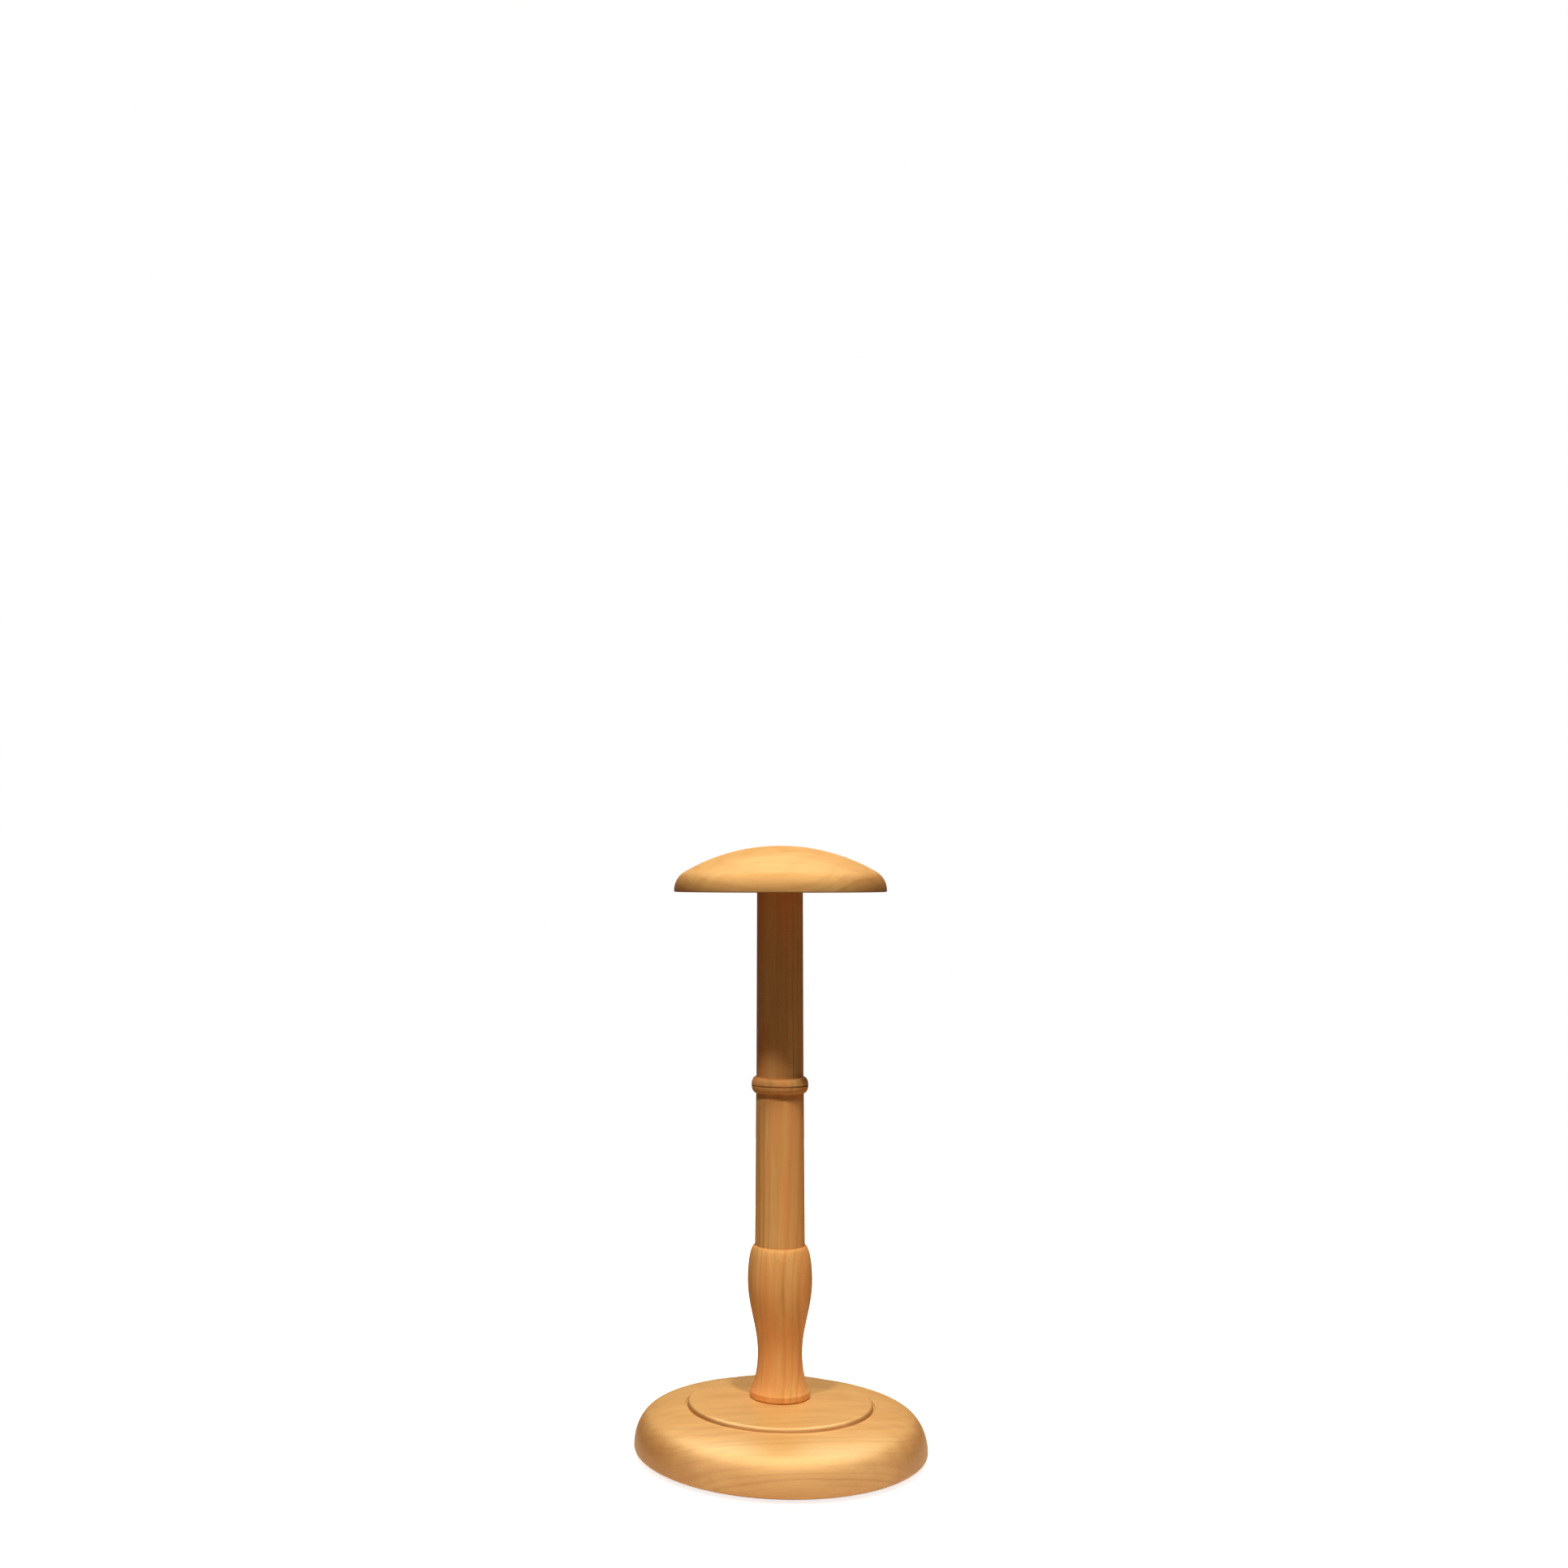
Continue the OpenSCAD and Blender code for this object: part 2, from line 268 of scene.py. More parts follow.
class StageSettings(bpy.types.PropertyGroup):
    """The camera's place and the lamps."""
    lens_px: number("Lens", "Focal length in photograph pixels", 2177)
    distance: length("Distance", "Camera to the stand's axis", 1.235)
    side: length("Side step", "Camera to the left of the stand's axis", 0.116)
    eye: length("Eye height", "Camera's height above the wooden underside", 0.4028)
    axis_px: number("Axis", "Column of the photograph on the stand's axis", 961)
    horizon_px: number("Horizon", "Row of the photograph at eye height", 1080)
    lamp_distance: length("Lamp distance", "A lamp to the middle of the stand", 3.6)
    lamp_size: length("Lamp size", "Diameter of a lamp", 0.26)
    left_azimuth: angle("Left azimuth", "Direction, to the right of the viewer", -30)
    left_elevation: angle("Left elevation", "Height above the horizon", 64)
    left_power: number("Left power", "Power of the left lamp", 67, unit="POWER")
    right_azimuth: angle("Right azimuth", "Direction, to the right of the viewer", 15)
    right_elevation: angle("Right elevation", "Height above the horizon", 68)
    right_power: number("Right power", "Power of the right lamp", 72, unit="POWER")
    back_azimuth: angle("Back azimuth", "Direction, to the right of the viewer", 150)
    back_elevation: angle("Back elevation", "Height above the horizon", 35)
    back_power: number("Back power", "Power of the back lamp", 11, unit="POWER")
    lamp_tint: tint("Lamp tint", "Colour of the lamps", "#FFF9EE")
    fill: number("Fill", "Strength of the light from all round", 0.09)
    fill_tint: tint("Fill tint", "Colour of the light from all round", "#FFD2AC")
    paper_r: length("Paper", "Radius of the white paper around the stand", 0.24)
    paper_side: length("Paper side", "Paper's middle to the right of the stand's axis", 0.05)
    paper_tint: tint("Paper bounce", "Colour that the paper throws back", "#FDEBD0")
    floor_tint: tint("Floor bounce", "Colour that the floor beyond throws back", "#5A483C")
    shine: number("Shine", "Brightness of the front walls in reflections", 0.9)
    back_shine: number("Back shine", "Brightness of the back wall in reflections", 0.1)
    softbox: number("Softbox", "Brightness of the softbox in reflections", 6.0)
    softbox_wide: number("Softbox width", "How much wider than deep it is", 1.15)
    softbox_tint: tint("Softbox tint", "Colour of the softbox in reflections", "#FFF7CE")


class WigStand(bpy.types.PropertyGroup):
    """Every setting of the stand."""
    base: PointerProperty(type=BaseSizes)
    column: PointerProperty(type=ColumnSizes)
    rod: PointerProperty(type=RodSizes)
    head: PointerProperty(type=HeadSizes)
    hardware: PointerProperty(type=HardwareSizes)
    wood: PointerProperty(type=WoodFinish)
    metal: PointerProperty(type=MetalFinish)
    stage: PointerProperty(type=StageSettings)


def arc(x, z, rx, rz, start, end, steps=CURVE_STEPS, first=1):
    """Points of an elliptical arc about (x, z) between two angles in degrees, as a rule without the first point."""
    angles = [math.radians(start + (end - start) * i / steps) for i in range(first, steps + 1)]
    return [(x + rx * math.cos(a), z + rz * math.sin(a)) for a in angles]


def s_curve(r_from, z_from, r_to, z_to):
    """Points of an S-curve that is upright at both ends, without the first point."""
    return [
        (r_from + (r_to - r_from) * (1 - math.cos(math.pi * u)) / 2, z_from + (z_to - z_from) * u)
        for u in (i / CURVE_STEPS for i in range(1, CURVE_STEPS + 1))
    ]


def bend(start, middle, end, inner_r):
    """Points of a curve between two ends that bends towards a point between them, outside a radius."""
    points = [
        tuple((1 - u) ** 2 * a + 2 * u * (1 - u) * b + u ** 2 * c for a, b, c in zip(start, middle, end))
        for u in (i / CURVE_STEPS for i in range(1, CURVE_STEPS))
    ]
    return [(x, z) for x, z in points if x > inner_r]


def insert_seat(hardware, seam, inward):
    """Outline of the hole for an insert and the bolt's end, from the seam's face to the axis."""
    wall = hardware.insert_d / 2 + hardware.fit_gap
    tip_wall = hardware.stud_d / 2 + hardware.tip_room
    ease = hardware.mouth_ease
    ledge = seam + inward * hardware.insert_depth
    bottom = seam + inward * (hardware.stud_out + hardware.tip_room)
    return [
        (wall + ease, seam), (wall, seam + inward * ease), (wall, ledge),
        (tip_wall, ledge), (tip_wall, bottom), (0, bottom),
    ]


def stud_seat(hardware, seam, inward):
    """Outline of the hole for a bolt's wood end, from the seam's face to the axis."""
    wall = hardware.stud_d / 2 + hardware.fit_gap
    ease = hardware.mouth_ease
    bottom = seam + inward * (hardware.stud_grip + hardware.tip_room)
    return [(wall + ease, seam), (wall, seam + inward * ease), (wall, bottom), (0, bottom)]


def base_outline(sizes, hardware):
    """Outline of the base from the felt's recess round the outside to the hole on top."""
    floor, top = low("base"), high("base")
    radius, plinth_r, groove_r = sizes.diameter / 2, sizes.plinth_d / 2, sizes.quirk_w / 2
    belly, land = floor + sizes.belly_h, top - sizes.plinth_h
    under_r, edge_x = radius - sizes.under_w, radius - sizes.edge_w
    recess_r, recess = width("felt_disc") / 2 + sizes.felt_gap, floor + sizes.felt_sink
    # The land is slightly crowned: a curve that leaves the elliptical round-over at the land's fall
    land_angle = math.atan2(sizes.edge_h, sizes.edge_w * math.tan(sizes.land_fall))
    touch_x, touch_z = edge_x + sizes.edge_w * math.cos(land_angle), belly + sizes.edge_h * math.sin(land_angle)
    bend_x = touch_x - LAND_BEND * (touch_x - plinth_r)
    bend_z = touch_z + (touch_x - bend_x) * math.tan(sizes.land_fall)
    slope = math.degrees(math.atan2(land - bend_z, bend_x - plinth_r))
    # The plinth's top is an arc that is level at the seat and runs into the rounded edge
    plinth_x, edge_r, seat_r = plinth_r - sizes.plinth_edge_r, sizes.plinth_edge_r, sizes.seat_d / 2
    plinth_z = top - sizes.plinth_crown - edge_r
    dome_angle = 2 * math.atan2(sizes.plinth_crown, plinth_x - seat_r)
    dome_r = (plinth_x - seat_r) / math.sin(dome_angle) + edge_r
    dome_from = 90 - math.degrees(dome_angle)
    return [
        (0, recess), (recess_r, recess), (recess_r, floor), (under_r - FLAT_RING, floor), (under_r, floor),
        *arc(under_r, belly, sizes.under_w, sizes.belly_h, -90, 0),
        *arc(edge_x, belly, sizes.edge_w, sizes.edge_h, 0, math.degrees(land_angle)),
        *bend((touch_x, touch_z), (bend_x, bend_z), (plinth_r, land), plinth_r + sizes.quirk_w),
        *arc(plinth_r + groove_r, land, groove_r, groove_r, -2 * slope, -180, GROOVE_STEPS, first=0),
        (plinth_r, plinth_z),
        *arc(plinth_x, plinth_z, edge_r, edge_r, 0, dome_from),
        *arc(seat_r, top - dome_r, dome_r, dome_r, dome_from, 90),
        *insert_seat(hardware, top, -1),
    ]


def column_outline(sizes, rod, hardware):
    """Outline of the column from the hole in its foot up the outside to the hole in its top."""
    foot, seam = low("column"), high("column")
    foot_r, waist_r, swell_r = sizes.foot_d / 2, sizes.waist_d / 2, sizes.swell_d / 2
    neck_r, top_r, bead_r = sizes.neck_d / 2, sizes.top_d / 2, rod.bead_d / 2
    edge_x = foot_r - sizes.foot_edge_r
    waist, swell = foot + sizes.waist_h, foot + sizes.swell_h
    cove_w = (foot_r - waist_r) / (1 - math.cos(sizes.cove_sweep))
    cove_h = (sizes.waist_h - sizes.foot_lip_h) / math.sin(sizes.cove_sweep)
    half_bead = rod.bead_h / 2
    return [
        *reversed(stud_seat(hardware, foot, 1)),
        (edge_x - FLAT_RING, foot), (edge_x, foot),
        *arc(edge_x, foot + sizes.foot_edge_r, sizes.foot_edge_r, sizes.foot_edge_r, -90, 0),
        (foot_r, foot + sizes.foot_lip_h),
        *arc(waist_r + cove_w, waist, cove_w, cove_h, 180 + math.degrees(sizes.cove_sweep), 180),
        *s_curve(waist_r, waist, swell_r, swell),
        *arc(neck_r, swell, swell_r - neck_r, sizes.shoulder_h, 0, 90),
        (top_r, seam - half_bead),
        *arc(top_r, seam - rod.seam_ease, bead_r - top_r, half_bead - rod.seam_ease, -90, 0),
        (bead_r - rod.seam_depth, seam),
        *insert_seat(hardware, seam, -1),
    ]


def extension_outline(rod, hardware):
    """Outline of the extension from the hole in its low end up the outside to the hole in its top."""
    seam, top = low("extension"), high("extension")
    low_r, top_r, bead_r = rod.low_d / 2, rod.top_d / 2, rod.bead_d / 2
    ease = rod.seam_ease
    return [
        *reversed(stud_seat(hardware, seam, 1)),
        (bead_r - rod.seam_depth, seam), (bead_r, seam + ease),
        *arc(low_r, seam + ease, bead_r - low_r, rod.bead_h / 2 - ease, 0, 90),
        (top_r, top - ease), (top_r - ease, top),
        *stud_seat(hardware, top, -1),
    ]


def head_outline(sizes, hardware):
    """Outline of the head from the hole in its underside round the rim to the top of the dome."""
    under, top = low("head"), high("head")
    radius, rim_x = sizes.diameter / 2, sizes.diameter / 2 - sizes.rim_r
    rim, edge_r = under + sizes.rim_h, sizes.dome_edge_r
    # The dome is an arc that is level on top and runs into the rounded shoulder
    run, climb = radius - edge_r, top - rim - edge_r
    inner_r = (run ** 2 + climb ** 2) / (2 * climb)
    edge_angle = math.degrees(math.atan2(inner_r - climb, run))
    dome_r = inner_r + edge_r
    return [
        *reversed(insert_seat(hardware, under, 1)),
        (rim_x - FLAT_RING, under), (rim_x, under),
        *arc(rim_x, under + sizes.rim_r, sizes.rim_r, sizes.rim_r, -90, 0),
        (radius, rim),
        *arc(run, rim, edge_r, edge_r, 0, edge_angle),
        *arc(0, top - dome_r, dome_r, dome_r, edge_angle, 90, DOME_STEPS),
    ]


def felt_outline(sizes):
    """Outline of the felt from its underside round the pressed edge to its glued face."""
    bottom, top, radius = low("felt_disc"), high("felt_disc"), width("felt_disc") / 2
    edge_r = sizes.felt_edge_r
    edge_x = radius - edge_r
    # Rings across both faces keep their triangles short
    return [
        (0, bottom), (0.4 * radius, bottom), (0.8 * radius, bottom), (edge_x - FLAT_RING, bottom), (edge_x, bottom),
        *arc(edge_x, bottom + edge_r, edge_r, edge_r, -90, 0, FELT_STEPS),
        (radius, top), (0.5 * radius, top), (0, top),
    ]


def spin(outline, segments, rise=0):
    """A bmesh swept round the Z axis from an outline of radii and heights, with a rise for a thread."""
    shape = bmesh.new()
    points = [shape.verts.new((r, 0, z)) for r, z in outline]
    lines = [shape.edges.new(pair) for pair in zip(points, points[1:])]
    bmesh.ops.spin(
        shape, geom=points + lines, cent=(0, 0, 0), axis=UP, dvec=(0, 0, rise / segments),
        angle=math.tau, steps=segments, use_merge=not rise, use_duplicate=False)
    return shape


def close_shape(shape):
    """Merges the vertices where a spin meets itself and points the faces outwards."""
    bmesh.ops.remove_doubles(shape, verts=shape.verts, dist=MERGE)
    bmesh.ops.recalc_face_normals(shape, faces=shape.faces)
    return shape


def turn(outline, segments):
    """A bmesh turned about the Z axis from an outline of radii and heights."""
    return close_shape(spin(outline, segments))


def cut_thread(form, bottom, top):
    """A bmesh of a right-hand thread between two heights, an open tube with a crest at height 0 on +X."""
    flank = (form.pitch - form.root_w - form.crest_w) / 2
    outline = []
    # Spare turns at both ends are cut off level
    for count in range(math.floor(bottom / form.pitch) - 2, math.ceil(top / form.pitch) + 2):
        crest = count * form.pitch
        root = crest + form.crest_w / 2 + flank
        outline += [
            (form.crest_r, crest - form.crest_w / 2), (form.crest_r, crest + form.crest_w / 2),
            (form.root_r, root), (form.root_r, root + form.root_w),
        ]
    shape = spin(outline, THREAD_SEGMENTS, form.pitch)
    bmesh.ops.remove_doubles(shape, verts=shape.verts, dist=MERGE)
    for height, outward in ((bottom, -UP), (top, UP)):
        bmesh.ops.bisect_plane(
            shape, geom=[*shape.verts, *shape.edges, *shape.faces], dist=MERGE,
            plane_co=(0, 0, height), plane_no=outward, clear_outer=True)
    return shape


def join(shape, other):
    """Moves the contents of one bmesh into another."""
    mesh = bpy.data.meshes.new("joined")
    other.to_mesh(mesh)
    other.free()
    shape.from_mesh(mesh)
    bpy.data.meshes.remove(mesh)


def open_edges(shape, height):
    """Boundary edges of a bmesh that lie at a height."""
    return [
        edge for edge in shape.edges
        if edge.is_boundary and all(abs(v.co.z - height) < 2 * MERGE for v in edge.verts)
    ]


def add_ring(shape, radius, height):
    """Adds a ring of edges to a bmesh and returns the edges."""
    ring = bmesh.ops.create_circle(
        shape, cap_ends=False, radius=radius, segments=THREAD_SEGMENTS, matrix=Matrix.Translation((0, 0, height)))
    return list({edge for vert in ring["verts"] for edge in vert.link_edges})


def fit_radius(verts, limit, pick):
    """Moves vertices along their radius to the least (min) or most (max) of it and a limit at their height."""
    for vert in verts:
        radius = math.hypot(vert.co.x, vert.co.y)
        scale = pick(radius, limit(vert.co.z)) / radius
        vert.co.x *= scale
        vert.co.y *= scale


def metric_thread(pitch, radius, slack=0):
    """Form of a metric thread, wider by some slack where it is an inner one."""
    depth, root, crest = (share * pitch for share in METRIC_FORM)
    return Thread(pitch, radius - depth + 2 * slack, radius + slack, root - 1.5 * slack, crest + 1.5 * slack)


def coarse_thread(pitch, radius, form):
    """Form of a wood or knife thread."""
    root, root_flat, crest_flat = form
    return Thread(pitch, root * radius, radius, root_flat * pitch, crest_flat * pitch)


def hanger_bolt(hardware):
    """A bmesh of a bolt across a seam at height 0: machine thread below, plain shank, wood thread above."""
    bolt_r, shank_r, tip_r = hardware.stud_d / 2, hardware.shank_d / 2, hardware.stud_tip_d / 2
    end, point = -hardware.stud_out, hardware.stud_grip
    machine_top, wood_bottom = SHANK_LOW - MACHINE_RUNOUT, SHANK_HIGH + WOOD_RUNOUT
    shape = cut_thread(metric_thread(hardware.pitch, bolt_r), end, machine_top)
    fit_radius(shape.verts, lambda z: bolt_r - hardware.stud_chamfer + (z - end), min)
    screw = cut_thread(coarse_thread(hardware.wood_pitch, bolt_r, WOOD_FORM), wood_bottom, point)
    taper = (bolt_r - tip_r) / hardware.stud_point_l
    fit_radius(screw.verts, lambda z: tip_r + taper * (point - z), min)
    join(shape, screw)
    lower, upper = add_ring(shape, shank_r, SHANK_LOW), add_ring(shape, shank_r, SHANK_HIGH)
    bmesh.ops.bridge_loops(shape, edges=open_edges(shape, machine_top) + lower)
    bmesh.ops.bridge_loops(shape, edges=lower + upper)
    bmesh.ops.bridge_loops(shape, edges=upper + open_edges(shape, wood_bottom))
    bmesh.ops.holes_fill(shape, edges=open_edges(shape, end) + open_edges(shape, point), sides=0)
    return close_shape(shape)


def knife_insert(hardware):
    """A bmesh of an insert under a seam at height 0: knife thread outside, machine thread inside."""
    outer_r, bolt_r = hardware.insert_d / 2, hardware.stud_d / 2
    top, bottom = -hardware.insert_sink, -hardware.insert_depth
    end_r, lip = INSERT_END * outer_r, INSERT_LIP * outer_r
    shape = cut_thread(coarse_thread(hardware.insert_pitch, outer_r, KNIFE_FORM), bottom, top)
    fit_radius(shape.verts, lambda z: end_r + min(z - bottom, INSERT_STEEP * (top - z) + lip), min)
    # The inner thread is the bolt's own, wider by some slack, so the two never touch
    bore = cut_thread(metric_thread(hardware.pitch, bolt_r, THREAD_SLACK), bottom, top)
    fit_radius(bore.verts, lambda z: bolt_r + BORE_MOUTH - (top - z), max)
    join(shape, bore)
    for height in (bottom, top):
        bmesh.ops.triangle_fill(shape, edges=open_edges(shape, height), use_beauty=True, normal=UP)
    return close_shape(shape)


def add_object(shape, name):
    """Puts a bmesh in the scene as an object."""
    mesh = bpy.data.meshes.new(name)
    shape.to_mesh(mesh)
    shape.free()
    made = bpy.data.objects.new(name, mesh)
    bpy.context.collection.objects.link(made)
    return made


def cut_slot(piece, hardware, top):
    """Cuts the driving slot across the end of an insert that faces its seam."""
    block = bmesh.new()
    sizes = (2 * hardware.insert_d, hardware.slot_w, 2 * hardware.slot_depth)
    bmesh.ops.create_cube(block, size=1, matrix=Matrix.Translation((0, 0, top)) @ Matrix.Diagonal((*sizes, 1)))
    cutter = add_object(block, "slot_cutter")
    cut = piece.modifiers.new("slot", "BOOLEAN")
    cut.object, cut.operation, cut.solver = cutter, "DIFFERENCE", "EXACT"
    whole, tool = piece.data, cutter.data
    graph = bpy.context.evaluated_depsgraph_get()
    piece.data = bpy.data.meshes.new_from_object(piece.evaluated_get(graph))
    piece.modifiers.remove(cut)
    bpy.data.objects.remove(cutter)
    bpy.data.meshes.remove(tool)
    bpy.data.meshes.remove(whole)


def add_piece(shape, node, material):
    """Makes the bmesh a shown piece in place of a CAD node, on the node's body."""
    piece = add_object(shape, "turned_" + node)
    piece.data.name = node
    piece.data.materials.append(material)
    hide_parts(node)
    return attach(piece, BODY_OF[node])


def smooth(piece):
    """Shades a piece smooth, with its real corners sharp."""
    piece.data.shade_smooth()
    piece.data.set_sharp_from_angle(angle=SMOOTH_ANGLE)


def wire(tree, node, inputs):
    """Gives a node's inputs sockets or values; a node stands for its first output in use."""
    for key, value in inputs.items():
        if isinstance(value, bpy.types.Node):
            value = next(socket for socket in value.outputs if socket.enabled)
        if isinstance(value, bpy.types.NodeSocket):
            tree.links.new(value, node.inputs[key])
        else:
            node.inputs[key].default_value = value


def add(tree, kind, inputs=None, **settings):
    """Adds a shader node with its settings and inputs."""
    node = tree.nodes.new("ShaderNode" + kind)
    for name, value in settings.items():
        setattr(node, name, value)
    wire(tree, node, inputs or {})
    return node


def new_material(name):
    """A node material, its tree and its shader."""
    material = bpy.data.materials.new(name)
    material.use_nodes = True
    tree = material.node_tree
    return material, tree, tree.nodes["Principled BSDF"]


def per(size):
    """Pattern scale for features of a size."""
    return 1 / size


def grain_scale(breadth, run):
    """Pattern scale for features of a breadth across the grain and a run along it."""
    return per(breadth), per(breadth), per(run)


def opaque(colour, share=1):
    """Opaque RGBA of a share of a colour."""
    return (*(share * c for c in colour), 1)


def lathe_space(tree, place):
    """A node of the distance from the turning axis and the height, in which a tool's marks are rings."""
    plan = add(tree, "VectorMath", {0: place, 1: (1, 1, 0)}, operation="MULTIPLY")
    lathe_r = add(tree, "VectorMath", {0: plan}, operation="LENGTH")
    height = add(tree, "SeparateXYZ", {0: place})
    return add(tree, "CombineXYZ", {"X": lathe_r, "Y": height.outputs["Z"]})


def lacquered_pine(node, finish):
    """Honey pine, turned, sanded and lacquered satin.

    The eye sees soft growth rings with a pale and a darker side, long fine fibres along the grain, a slow drift
    of tone, darker ends where the fibres are cut across, and a broad low sheen.
    """
    timber = TIMBERS[node]
    material, tree, shader = new_material("lacquered_pine_" + node)
    upright = Vector(timber.grain).rotation_difference(UP)
    # The tone is partly painted light: it darkens the base and head, whose tops the lamps light strongly, and pales
    # the column
    early, late, heart, end_grain = (
        opaque(wood, timber.tone) for wood in (finish.early, finish.late, finish.heart, finish.end_grain))
    where = add(tree, "TexCoord")
    place = where.outputs["Object"]
    # The tree's own space: its trunk stands on Z and its pith is on the axis
    tree_at = add(tree, "Mapping", {
        "Vector": place, "Rotation": upright.to_euler(), "Location": -(upright @ Vector(timber.pith))})
    # A trunk isn't a perfect cylinder: slow waves along it bend the rings
    sway_at = add(tree, "Mapping", {"Vector": tree_at, "Scale": grain_scale(60 * MM, 240 * MM)})
    sway = add(tree, "TexNoise", {"Vector": sway_at, "Scale": 1, "Detail": 2})
    centred = add(tree, "VectorMath", {0: sway.outputs["Color"], 1: (0.5, 0.5, 0.5)}, operation="SUBTRACT")
    bent = add(tree, "VectorMath", {0: centred, 1: (SWAY_W, SWAY_W, 0), 2: tree_at}, operation="MULTIPLY_ADD")
    across = add(tree, "VectorMath", {0: bent, 1: (1, 1, 0)}, operation="MULTIPLY")
    radius = add(tree, "VectorMath", {0: across}, operation="LENGTH")
    even_age = add(tree, "Math", {0: radius, 1: per(finish.ring_w)}, operation="MULTIPLY")
    # Good and poor years make wide and narrow rings, some of them marked and some faint
    years = add(tree, "TexNoise", {"W": even_age, "Scale": 0.4, "Detail": 1}, noise_dimensions="1D")
    age = add(tree, "Math", {0: years, 1: YEAR_SPREAD, 2: even_age}, operation="MULTIPLY_ADD")
    year = add(tree, "Math", {0: age}, operation="FLOOR")
    mark = add(tree, "TexWhiteNoise", {"W": year}, noise_dimensions="1D")
    season = add(tree, "Math", {0: age}, operation="FRACT")
    lateness = add(tree, "ValToRGB", {"Fac": season})
    ramp = lateness.color_ramp
    ramp.interpolation = "EASE"
    for end in ramp.elements:
        end.color = opaque([YEAR_TURN] * 3)
    for position, value in SEASONS:
        ramp.elements.new(position).color = opaque([value] * 3)
    marked = add(tree, "MapRange", {"Value": mark, "To Min": 0.1, "To Max": 0.5})
    ring = add(tree, "Math", {0: lateness, 1: marked}, operation="MULTIPLY")
    # Noise drawn out along the grain, with fibres twice as wide as life so that they show
    figure = {}
    for name, space, breadth, run, detail, roughness in (
            ("fibre", bent, 2 * finish.fibre_w, 60 * finish.fibre_w, 4, 0.62),
            ("streak", bent, 7 * MM, 190 * MM, 2, 0.5),
            ("drift", tree_at, 16 * MM, 120 * MM, 2, 0.5)):
        drawn_at = add(tree, "Mapping", {"Vector": space, "Scale": grain_scale(breadth, run)})
        figure[name] = add(tree, "TexNoise", {
            "Vector": drawn_at, "Scale": 1, "Detail": detail, "Roughness": roughness})
    streaks = add(tree, "Math", {0: figure["streak"], 1: STREAK_SHARE, 2: ring}, operation="MULTIPLY_ADD")
    mixed = add(tree, "Math", {0: figure["fibre"], 1: FIBRE_SHARE, 2: streaks}, operation="MULTIPLY_ADD")
    shade = add(tree, "Math", {0: mixed, 1: PLAIN_SHARE}, operation="SUBTRACT", use_clamp=True)
    darkness = add(tree, "Math", {0: shade, 1: timber.marking}, operation="MULTIPLY")
    face = add(tree, "Mix", {0: darkness, 6: early, 7: late}, data_type="RGBA")
    # The tone drifts slowly between straw and a rosier heart wood
    rosy = add(tree, "MapRange", {
        "Value": figure["drift"], "From Min": 0.36, "From Max": 0.66,
        "To Min": timber.blush[0], "To Max": timber.blush[1]}, interpolation_type="SMOOTHSTEP")
    toned = add(tree, "Mix", {0: rosy, 6: face, 7: heart}, data_type="RGBA")
    # Fibres that are cut across drink more finish, so the ends are darker
    facing = add(tree, "Mapping", {
        "Vector": where.outputs["Normal"], "Rotation": upright.to_euler()}, vector_type="VECTOR")
    parts = add(tree, "SeparateXYZ", {0: facing})
    along = add(tree, "Math", {0: parts.outputs["Z"]}, operation="ABSOLUTE")
    ends = add(tree, "MapRange", {"Value": along, "From Min": 0.45, "To Max": 0.7}, interpolation_type="SMOOTHSTEP")
    colour = add(tree, "Mix", {0: ends, 6: toned, 7: end_grain}, data_type="RGBA")
    # The lathe and the sanding leave faint rings about the turning axis
    lathe = add(tree, "TexNoise", {
        "Vector": lathe_space(tree, place), "Scale": per(0.9 * MM), "Detail": 2}, noise_dimensions="2D")
    grainy = add(tree, "Math", {0: lathe, 1: LATHE_SHARE, 2: figure["fibre"]}, operation="MULTIPLY_ADD")
    rough = add(tree, "MapRange", {
        "Value": grainy, "From Min": 0.4, "From Max": 1.1, "To Min": 0.36, "To Max": 0.44})
    relief = add(tree, "Bump", {"Strength": 0.2, "Distance": 0.06 * MM, "Height": grainy})
    wire(tree, shader, {
        "Base Color": colour, "Roughness": rough, "Normal": relief, "Specular IOR Level": timber.lacquer})
    return material


def zinc_plated_steel(finish):
    """Zinc-plated steel, rolled thread: a cool pale grey with a soft uneven lustre."""
    material, tree, shader = new_material("zinc_plated_steel")
    place = add(tree, "TexCoord").outputs["Object"]
    spangle = add(tree, "TexNoise", {"Vector": place, "Scale": per(1.4 * MM), "Detail": 3})
    colour = add(tree, "Mix", {
        0: spangle, 6: opaque(finish.zinc, DULL_ZINC), 7: opaque(finish.zinc)}, data_type="RGBA")
    rough = add(tree, "MapRange", {"Value": spangle, "To Min": 0.24, "To Max": 0.42})
    wire(tree, shader, {"Base Color": colour, "Roughness": rough, "Metallic": 1})
    return material


def turned_brass(finish):
    """Free-cutting brass, turned on an automatic lathe: warm yellow with fine rings and slightly dulled."""
    material, tree, shader = new_material("turned_brass")
    place = add(tree, "TexCoord").outputs["Object"]
    lathe = add(tree, "TexNoise", {
        "Vector": lathe_space(tree, place), "Scale": per(0.2 * MM), "Detail": 2}, noise_dimensions="2D")
    dulled = add(tree, "TexNoise", {"Vector": place, "Scale": per(3 * MM), "Detail": 3})
    colour = add(tree, "Mix", {
        0: dulled, 6: opaque(finish.brass, DULL_BRASS), 7: opaque(finish.brass)}, data_type="RGBA")
    rough = add(tree, "MapRange", {"Value": lathe, "To Min": 0.2, "To Max": 0.4})
    relief = add(tree, "Bump", {"Strength": 0.2, "Distance": 0.02 * MM, "Height": lathe})
    wire(tree, shader, {"Base Color": colour, "Roughness": rough, "Normal": relief, "Metallic": 1})
    return material


